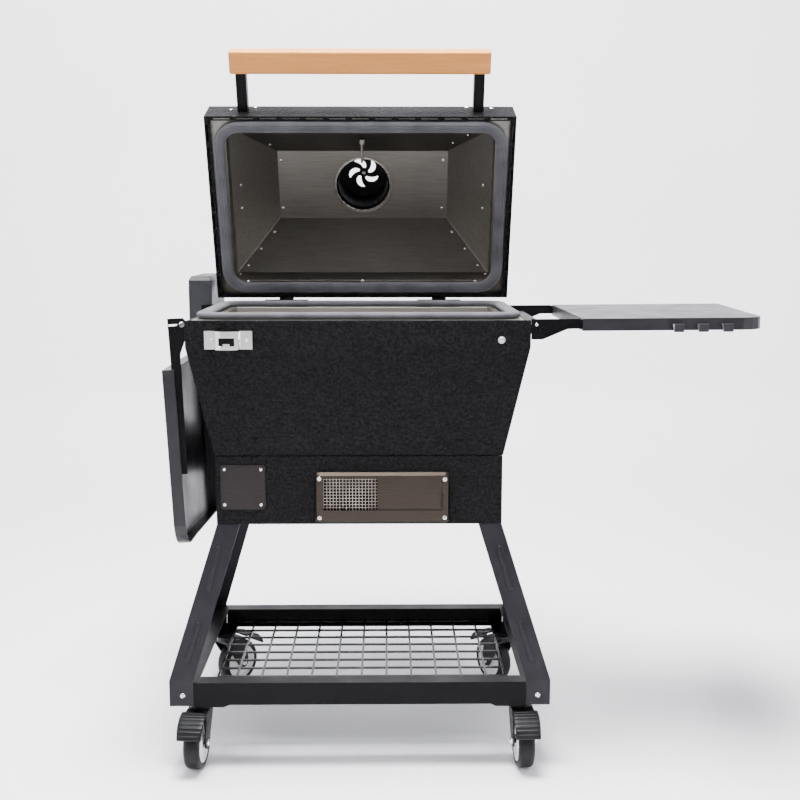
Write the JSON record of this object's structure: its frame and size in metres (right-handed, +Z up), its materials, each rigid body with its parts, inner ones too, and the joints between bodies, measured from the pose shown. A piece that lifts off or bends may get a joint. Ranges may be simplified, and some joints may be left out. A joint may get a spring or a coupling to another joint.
{
  "type": "pellet smoker grill",
  "caption": "Pellet smoker grill on an open wheeled cart, with a hinged insulated lid, steel lined chamber, wooden handle bar, chimney vent and fold-down side shelves.",
  "frame": {"origin": "floor level under the middle of the part's own box, measured with the lid open, the right shelf raised and the left shelf folded", "axes": "+Z up, +X to the right seen from the front, and the front with the handle faces -Y"},
  "size_m": [1.134, 0.6494, 1.3754],
  "materials": {
    "wrinkle_black": "near-black wrinkle powder coat on sheet steel",
    "plate_steel": "brushed stainless sheet, dull",
    "opener_steel": "bright stainless sheet",
    "satin_black": "near-black satin powder coat",
    "wire_black": "black gloss coated wire",
    "liner_steel": "brushed warm grey stainless sheet",
    "rope_gasket": "dark grey woven glass-fibre rope",
    "oak": "light oiled oak",
    "grate_black": "black enamelled steel",
    "plain_steel": "mill finish steel darkened by heat",
    "mesh_steel": "woven steel mesh",
    "cap_black": "satin black enamel",
    "caster_steel": "satin black pressed steel",
    "caster_rubber": "matt black tyre on a white moulded hub",
    "brake_plastic": "matt black moulded pedal"
  },
  "bodies": {
    "cart": {"access_plate": "plate_steel", "base_box": "wrinkle_black", "body_gasket": "rope_gasket", "body_liner": "liner_steel", "body_shell": "wrinkle_black", "bottle_opener": "opener_steel", "cooking_grate": "grate_black", "feed_housing": "wrinkle_black", "fire_pot": "plain_steel", "front_left_leg": "satin_black", "front_panel": "wrinkle_black", "front_rail": "satin_black", "front_right_leg": "satin_black", "heat_baffle": "plain_steel", "hinge_leaf_left": "satin_black", "hinge_leaf_right": "satin_black", "left_rail": "satin_black", "pellet_hopper": "wrinkle_black", "rear_left_leg": "satin_black", "rear_rail": "satin_black", "rear_right_leg": "satin_black", "right_rail": "satin_black", "shelf_mount_left": "satin_black", "shelf_mount_right": "satin_black", "vent_frame": "plate_steel", "vent_mesh": "mesh_steel", "wire_shelf": "wire_black"},
    "lid": {"lid_shell": "wrinkle_black", "lid_liner": "liner_steel", "lid_gasket": "rope_gasket", "handle_bar": "oak", "handle_post_left": "satin_black", "handle_post_right": "satin_black", "flue_collar": "liner_steel", "flue_pipe": "wrinkle_black", "temperature_probe": "liner_steel", "hinge_strap_left": "satin_black", "hinge_strap_right": "satin_black"},
    "vent_cap": {"vent_cap": "cap_black"},
    "hopper_lid": {"hopper_lid": "wrinkle_black"},
    "vent_slider": {"vent_slider": "plate_steel"},
    "left_shelf": {"shelf_left": "wrinkle_black", "arm_left_front": "satin_black", "arm_left_rear": "satin_black"},
    "right_shelf": {"shelf_right": "wrinkle_black", "arm_right_front": "satin_black", "arm_right_rear": "satin_black"},
    "front_left_caster": {"front_left_fork": "caster_steel"},
    "front_left_caster_wheel": {"front_left_wheel": "caster_rubber"},
    "front_left_caster_brake": {"front_left_brake": "brake_plastic"},
    "front_right_caster": {"front_right_fork": "caster_steel"},
    "front_right_caster_wheel": {"front_right_wheel": "caster_rubber"},
    "front_right_caster_brake": {"front_right_brake": "brake_plastic"},
    "rear_left_caster": {"rear_left_fork": "caster_steel"},
    "rear_left_caster_wheel": {"rear_left_wheel": "caster_rubber"},
    "rear_left_caster_brake": {"rear_left_brake": "brake_plastic"},
    "rear_right_caster": {"rear_right_fork": "caster_steel"},
    "rear_right_caster_wheel": {"rear_right_wheel": "caster_rubber"},
    "rear_right_caster_brake": {"rear_right_brake": "brake_plastic"}
  },
  "joints": [
    {"name": "lid_hinge", "type": "hinge", "parent": "cart", "child": "lid", "pos_m": [-0.19501, 0.11926, 0.8685], "axis": [1, 0, 0], "range_deg": [0, 70]},
    {"name": "vent_cap_turn", "type": "hinge", "parent": "lid", "child": "vent_cap", "pos_m": [-0.19501, 0.30144, 1.14977], "axis": [0, 0.9397, 0.342], "continuous": true},
    {"name": "hopper_lid_hinge", "type": "hinge", "parent": "cart", "child": "hopper_lid", "pos_m": [-0.54226, 0.30026, 0.9043], "axis": [-1, 0, 0], "range_deg": [0, 100]},
    {"name": "vent_slide", "type": "slide", "parent": "cart", "child": "vent_slider", "axis": [-1, 0, 0], "range_m": [0, 0.0995]},
    {"name": "left_shelf_fold", "type": "hinge", "parent": "cart", "child": "left_shelf", "pos_m": [-0.529, -0.08274, 0.843], "axis": [0, 1, 0], "range_deg": [0, 92.6]},
    {"name": "right_shelf_fold", "type": "hinge", "parent": "cart", "child": "right_shelf", "pos_m": [0.139, -0.08274, 0.843], "axis": [0, 1, 0], "range_deg": [0, 92.9]},
    {"name": "front_left_swivel", "type": "hinge", "parent": "cart", "child": "front_left_caster", "pos_m": [-0.50601, -0.22974, 0.118], "axis": [0, 0, 1], "continuous": true},
    {"name": "front_left_wheel_spin", "type": "hinge", "parent": "front_left_caster", "child": "front_left_caster_wheel", "pos_m": [-0.50879, -0.26162, 0.05], "axis": [0.9962, -0.0872, 0], "continuous": true},
    {"name": "front_left_brake_tread", "type": "hinge", "parent": "front_left_caster", "child": "front_left_caster_brake", "pos_m": [-0.50919, -0.2661, 0.1116], "axis": [0.9962, -0.0872, 0], "range_deg": [0, 10]},
    {"name": "front_right_swivel", "type": "hinge", "parent": "cart", "child": "front_right_caster", "pos_m": [0.116, -0.22974, 0.118], "axis": [0, 0, 1], "continuous": true},
    {"name": "front_right_wheel_spin", "type": "hinge", "parent": "front_right_caster", "child": "front_right_caster_wheel", "pos_m": [0.11767, -0.2617, 0.05], "axis": [0.9986, 0.0523, 0], "continuous": true},
    {"name": "front_right_brake_tread", "type": "hinge", "parent": "front_right_caster", "child": "front_right_caster_brake", "pos_m": [0.1179, -0.26619, 0.1116], "axis": [0.9986, 0.0523, 0], "range_deg": [0, 10]},
    {"name": "rear_left_swivel", "type": "hinge", "parent": "cart", "child": "rear_left_caster", "pos_m": [-0.50601, 0.12626, 0.118], "axis": [0, 0, 1], "continuous": true},
    {"name": "rear_left_wheel_spin", "type": "hinge", "parent": "rear_left_caster", "child": "rear_left_caster_wheel", "pos_m": [-0.48544, 0.15077, 0.05], "axis": [-0.766, 0.6428, 0], "continuous": true},
    {"name": "rear_left_brake_tread", "type": "hinge", "parent": "rear_left_caster", "child": "rear_left_caster_brake", "pos_m": [-0.48254, 0.15422, 0.1116], "axis": [-0.766, 0.6428, 0], "range_deg": [0, 10]},
    {"name": "rear_right_swivel", "type": "hinge", "parent": "cart", "child": "rear_right_caster", "pos_m": [0.116, 0.12626, 0.118], "axis": [0, 0, 1], "continuous": true},
    {"name": "rear_right_wheel_spin", "type": "hinge", "parent": "rear_right_caster", "child": "rear_right_caster_wheel", "pos_m": [0.09951, 0.15369, 0.05], "axis": [-0.8572, -0.515, 0], "continuous": true},
    {"name": "rear_right_brake_tread", "type": "hinge", "parent": "rear_right_caster", "child": "rear_right_caster_brake", "pos_m": [0.0972, 0.15754, 0.1116], "axis": [-0.8572, -0.515, 0], "range_deg": [0, 10]}
  ]
}
